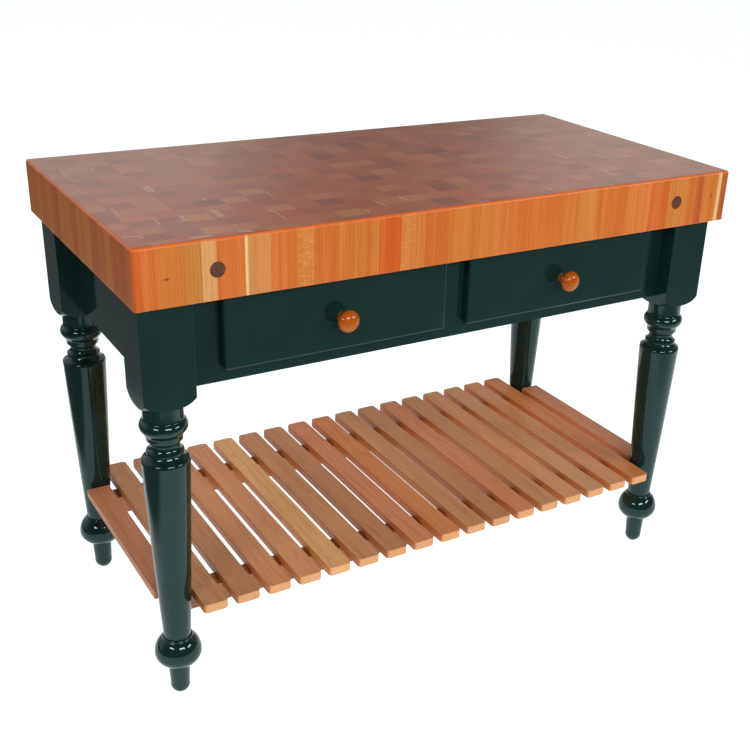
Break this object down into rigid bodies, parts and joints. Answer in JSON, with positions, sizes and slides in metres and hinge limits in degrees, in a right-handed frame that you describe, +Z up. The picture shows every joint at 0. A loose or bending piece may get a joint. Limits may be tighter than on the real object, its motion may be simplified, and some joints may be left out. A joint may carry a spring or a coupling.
{
  "type": "butcher block table",
  "caption": "Kitchen work table: thick end-grain block top on turned legs, drawers in the front apron and an open slatted shelf near the floor.",
  "frame": {"origin": "on the floor under the middle of the top", "axes": "+X along the length, towards the right seen from the drawer side; -Y out of the drawer side; +Z up"},
  "size_m": [1.2192, 0.6096, 0.88],
  "materials": {
    "end_grain_top": "oiled end-grain cherry",
    "oiled_cherry": "satin cherry",
    "dark_plug": "satin walnut",
    "green_paint": "gloss dark green painted wood",
    "amber_knob": "gloss amber lacquer",
    "pale_wood": "clear sealed",
    "steel": "zinc plated",
    "brown_nylon": "matt"
  },
  "bodies": {
    "table": {"top": "end_grain_top", "tie_rod_left": "steel", "tie_rod_right": "steel", "plug_front_left": "dark_plug", "plug_front_right": "dark_plug", "plug_back_left": "dark_plug", "plug_back_right": "dark_plug", "leg_front_left": "green_paint", "leg_front_right": "green_paint", "leg_back_left": "green_paint", "leg_back_right": "green_paint", "glide_front_left": "brown_nylon", "glide_front_right": "brown_nylon", "glide_back_left": "brown_nylon", "glide_back_right": "brown_nylon", "apron_front": "green_paint", "apron_back": "green_paint", "apron_left": "green_paint", "apron_right": "green_paint", "corner_brace_front_left": "pale_wood", "corner_brace_front_right": "pale_wood", "corner_brace_back_left": "pale_wood", "corner_brace_back_right": "pale_wood", "runner_left": "pale_wood", "runner_centre": "pale_wood", "runner_right": "pale_wood", "slat_01": "oiled_cherry", "slat_02": "oiled_cherry", "slat_03": "oiled_cherry", "slat_04": "oiled_cherry", "slat_05": "oiled_cherry", "slat_06": "oiled_cherry", "slat_07": "oiled_cherry", "slat_08": "oiled_cherry", "slat_09": "oiled_cherry", "slat_10": "oiled_cherry", "slat_11": "oiled_cherry", "slat_12": "oiled_cherry", "slat_13": "oiled_cherry", "slat_14": "oiled_cherry", "slat_15": "oiled_cherry", "slat_16": "oiled_cherry", "slat_17": "oiled_cherry", "slat_18": "oiled_cherry", "slat_19": "oiled_cherry", "shelf_rail_front": "oiled_cherry", "shelf_rail_back": "oiled_cherry"},
    "drawer_left": {"drawer_left_front": "green_paint", "drawer_left_side_left": "pale_wood", "drawer_left_side_right": "pale_wood", "drawer_left_back": "pale_wood", "drawer_left_bottom": "pale_wood", "drawer_left_knob": "amber_knob"},
    "drawer_right": {"drawer_right_front": "green_paint", "drawer_right_side_left": "pale_wood", "drawer_right_side_right": "pale_wood", "drawer_right_back": "pale_wood", "drawer_right_bottom": "pale_wood", "drawer_right_knob": "amber_knob"}
  },
  "joints": [
    {"name": "drawer_left_slide", "type": "slide", "parent": "table", "child": "drawer_left", "axis": [0, -1, 0], "range_m": [0, 0.32]},
    {"name": "drawer_right_slide", "type": "slide", "parent": "table", "child": "drawer_right", "axis": [0, -1, 0], "range_m": [0, 0.32]}
  ]
}
